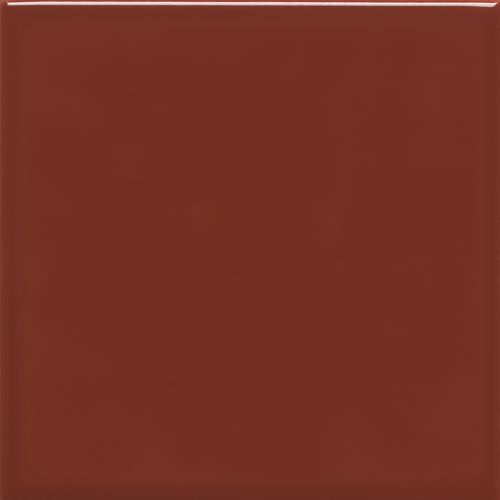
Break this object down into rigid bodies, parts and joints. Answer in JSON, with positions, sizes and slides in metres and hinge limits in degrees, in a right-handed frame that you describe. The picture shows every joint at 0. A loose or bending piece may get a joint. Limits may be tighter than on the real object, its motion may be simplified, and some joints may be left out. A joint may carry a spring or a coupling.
{
  "type": "glazed porcelain mosaic tile",
  "caption": "Square pressed porcelain mosaic tile with a glossy brick-red glazed face, a crowned edge and rounded lip, and a ribbed back that keys into adhesive.",
  "frame": {"origin": "centre of the bedding plane, the plane of the rib crests on the back", "axes": "+Z out of the glazed face, +X along the ribs and grooves of the back, +Y across them"},
  "size_m": [0.048, 0.048, 0.006],
  "materials": {
    "glazed_porcelain": "polished"
  },
  "bodies": {
    "root": {"mosaic_tile": "glazed_porcelain"}
  },
  "joints": []
}
